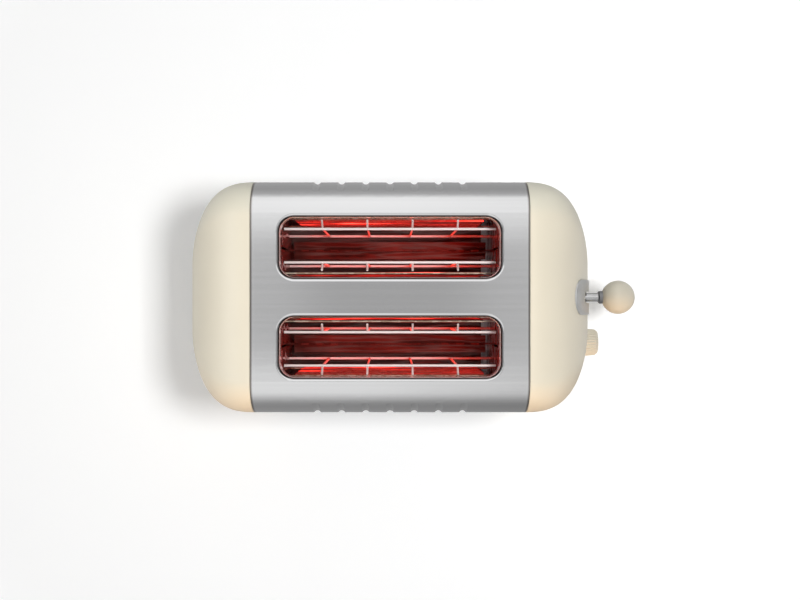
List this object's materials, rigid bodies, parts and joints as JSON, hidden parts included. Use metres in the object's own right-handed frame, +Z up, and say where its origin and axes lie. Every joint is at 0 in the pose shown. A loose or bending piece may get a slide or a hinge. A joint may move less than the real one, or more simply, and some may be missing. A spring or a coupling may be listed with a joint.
{
  "type": "two-slot toaster",
  "caption": "Vintage-style two-slot toaster: fluted steel wrap, domed cream end caps, wire bread guards, wound ribbon heaters, a lever-lifted bread carriage and a crumb tray.",
  "frame": {"origin": "centre of the whole toaster's footprint on the table", "axes": "+X from the rear end to the lever end, +Y across both bread slots, +Z up"},
  "size_m": [0.3618, 0.174, 0.205],
  "materials": {
    "steel_wrap": "brushed along the body",
    "cream_shell": "gloss cream",
    "lever_trim": "satin plated",
    "plated_steel": "bright plated",
    "inner_steel": "plain mill finish, heat toned",
    "wire_steel": "bright wire, heat toned",
    "zinc_sheet": "zinc plated",
    "mica_card": "layered, satin",
    "heating_ribbon": "glowing",
    "rubber_foot": "matt",
    "rubber_gland": "matt",
    "spring_steel": "bright",
    "soft_iron": "ground",
    "copper_winding": "varnished",
    "circuit_board": "laminate",
    "dark_plastic": "satin",
    "cream_button": "gloss cream",
    "screw_steel": "plated"
  },
  "bodies": {
    "body": {"body_wrap": "steel_wrap", "front_cap": "cream_shell", "rear_cap": "cream_shell", "lever_bezel": "lever_trim", "cord_gland": "rubber_gland", "front_bulkhead": "zinc_sheet", "rear_bulkhead": "zinc_sheet", "base_plate": "zinc_sheet", "feet": "rubber_foot", "centre_reflector": "inner_steel", "guide_rod": "plated_steel", "lift_spring": "spring_steel", "latch_magnet": "soft_iron", "magnet_coil": "copper_winding", "control_board": "circuit_board", "board_posts": "dark_plastic", "browning_control": "dark_plastic", "button_switches": "dark_plastic", "base_screws": "screw_steel", "front_cap_screws": "screw_steel", "rear_cap_screws": "screw_steel", "outer_reflector_left": "inner_steel", "heater_card_left_inner": "mica_card", "heater_ribbon_left_inner": "heating_ribbon", "heater_card_left_outer": "mica_card", "heater_ribbon_left_outer": "heating_ribbon", "outer_reflector_right": "inner_steel", "heater_card_right_inner": "mica_card", "heater_ribbon_right_inner": "heating_ribbon", "heater_card_right_outer": "mica_card", "heater_ribbon_right_outer": "heating_ribbon"},
    "carriage": {"carriage_bracket": "zinc_sheet", "bread_rack_left": "inner_steel", "bread_rack_right": "inner_steel", "lever_stem": "plated_steel", "lever_collar": "plated_steel", "lever_ball": "cream_button", "armature_plate": "soft_iron"},
    "crumb_drawer": {"crumb_tray": "cream_shell"},
    "browning_dial": {"browning_knob": "cream_button", "browning_shaft": "plated_steel"},
    "defrost_key": {"defrost_button": "cream_button"},
    "reheat_key": {"reheat_button": "cream_button"},
    "cancel_key": {"cancel_button": "cream_button"},
    "guard_left_inner": {"bread_guard_left_inner": "wire_steel"},
    "guard_left_outer": {"bread_guard_left_outer": "wire_steel"},
    "guard_right_inner": {"bread_guard_right_inner": "wire_steel"},
    "guard_right_outer": {"bread_guard_right_outer": "wire_steel"}
  },
  "joints": [
    {"name": "carriage_lift", "type": "slide", "parent": "body", "child": "carriage", "axis": [0, 0, 1], "range_m": [0, 0.068], "deforming": ["lift_spring"]},
    {"name": "guard_left_inner_pivot", "type": "hinge", "parent": "body", "child": "guard_left_inner", "pos_m": [-0.0202, -0.026, 0.054], "axis": [1, 0, 0], "range_deg": [-2.1, 0]},
    {"name": "guard_left_outer_pivot", "type": "hinge", "parent": "body", "child": "guard_left_outer", "pos_m": [-0.0202, -0.051, 0.054], "axis": [1, 0, 0], "range_deg": [0, 2.1]},
    {"name": "guard_right_inner_pivot", "type": "hinge", "parent": "body", "child": "guard_right_inner", "pos_m": [-0.0202, 0.026, 0.054], "axis": [1, 0, 0], "range_deg": [0, 2.1]},
    {"name": "guard_right_outer_pivot", "type": "hinge", "parent": "body", "child": "guard_right_outer", "pos_m": [-0.0202, 0.051, 0.054], "axis": [1, 0, 0], "range_deg": [-2.1, 0]},
    {"name": "browning_turn", "type": "hinge", "parent": "body", "child": "browning_dial", "pos_m": [0.1298, -0.037, 0.072], "axis": [1, 0, 0], "range_deg": [-140, 140]},
    {"name": "defrost_press", "type": "slide", "parent": "body", "child": "defrost_key", "axis": [-1, 0, 0], "range_m": [0, 0.002], "stiffness_N_per_m": 400},
    {"name": "reheat_press", "type": "slide", "parent": "body", "child": "reheat_key", "axis": [-1, 0, 0], "range_m": [0, 0.002], "stiffness_N_per_m": 400},
    {"name": "cancel_press", "type": "slide", "parent": "body", "child": "cancel_key", "axis": [-1, 0, 0], "range_m": [0, 0.002], "stiffness_N_per_m": 400},
    {"name": "tray_draw", "type": "slide", "parent": "body", "child": "crumb_drawer", "axis": [-1, 0, 0], "range_m": [0, 0.22]}
  ],
  "couplings": [
    {"joint": "guard_left_inner_pivot", "follows": "carriage_lift", "rad_per_m": -0.513},
    {"joint": "guard_left_outer_pivot", "follows": "carriage_lift", "rad_per_m": 0.513},
    {"joint": "guard_right_inner_pivot", "follows": "carriage_lift", "rad_per_m": 0.513},
    {"joint": "guard_right_outer_pivot", "follows": "carriage_lift", "rad_per_m": -0.513}
  ]
}
